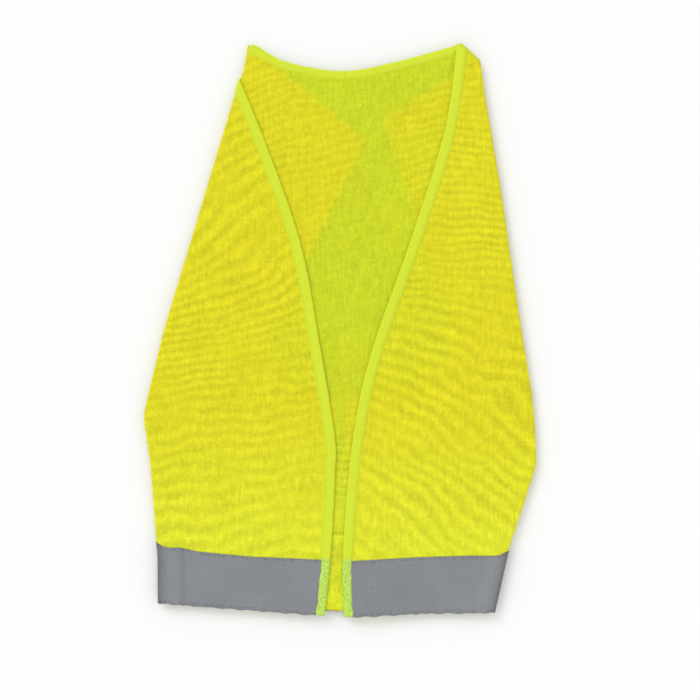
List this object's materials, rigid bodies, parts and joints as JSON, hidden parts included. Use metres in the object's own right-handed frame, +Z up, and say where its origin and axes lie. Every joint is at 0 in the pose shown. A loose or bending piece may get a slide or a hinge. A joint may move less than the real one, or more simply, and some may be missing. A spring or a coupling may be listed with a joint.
{
  "type": "high visibility vest",
  "caption": "Open-front knitted mesh safety vest with a reflective hem band, laid flat with both sides folded behind; fronts and sides unfold.",
  "frame": {"origin": "middle of the folded vest's box, on the surface that it lies on", "axes": "+Y from the hem towards the neck, +Z up out of the front of the vest, +X to the right as it is seen from above"},
  "size_m": [0.352, 0.5148, 0.0062],
  "materials": {
    "knitted_mesh": "fluorescent yellow-green warp-knitted polyester mesh, matt with a faint sheen",
    "edge_binding": "folded knitted binding tape, slightly lighter than the mesh, matt",
    "seam_thread": "overlocked polyester thread",
    "reflective_band": "grey glass-bead retroreflective tape, satin, stitched along both edges"
  },
  "bodies": {
    "back": {"back_panel": "knitted_mesh", "back_band": "reflective_band", "neck_binding": "edge_binding", "right_shoulder_seam_at_neck": "seam_thread", "left_front_fold": "knitted_mesh", "left_front_band_fold": "reflective_band", "right_front_fold": "knitted_mesh", "right_front_band_fold": "reflective_band"},
    "left_front": {"left_front_panel": "knitted_mesh", "left_front_binding": "edge_binding", "left_front_band": "reflective_band"},
    "right_front": {"right_front_panel": "knitted_mesh", "right_front_binding": "edge_binding", "right_front_band": "reflective_band"},
    "left_side": {"left_front_binding_end": "edge_binding", "left_neck_binding_end": "edge_binding", "left_side_front_ply": "knitted_mesh", "left_side_back_ply": "knitted_mesh", "left_armhole_binding": "edge_binding", "left_shoulder_seam": "seam_thread", "left_side_seam": "seam_thread", "left_side_front_band": "reflective_band", "left_side_back_band": "reflective_band"},
    "right_side": {"right_side_front_ply": "knitted_mesh", "right_side_back_ply": "knitted_mesh", "right_armhole_binding": "edge_binding", "right_shoulder_seam": "seam_thread", "right_side_seam": "seam_thread", "right_side_front_band": "reflective_band", "right_side_back_band": "reflective_band"}
  },
  "joints": [
    {"name": "left_front_open", "type": "hinge", "parent": "back", "child": "left_front", "pos_m": [-0.1165, 0.006, 0.00635], "axis": [-0.1497, -0.9887, 0], "range_deg": [0, 180]},
    {"name": "right_front_open", "type": "hinge", "parent": "back", "child": "right_front", "pos_m": [0.1255, 0.00225, 0.00635], "axis": [-0.0314, 0.9995, 0], "range_deg": [0, 180]},
    {"name": "left_side_unfold", "type": "hinge", "parent": "back", "child": "left_side", "pos_m": [-0.118, 0.006, -0.0002], "axis": [0.1497, 0.9887, 0], "range_deg": [0, 180]},
    {"name": "right_side_unfold", "type": "hinge", "parent": "back", "child": "right_side", "pos_m": [0.1287, 0.00225, -0.0002], "axis": [0.0247, -0.9997, 0], "range_deg": [0, 180]}
  ]
}
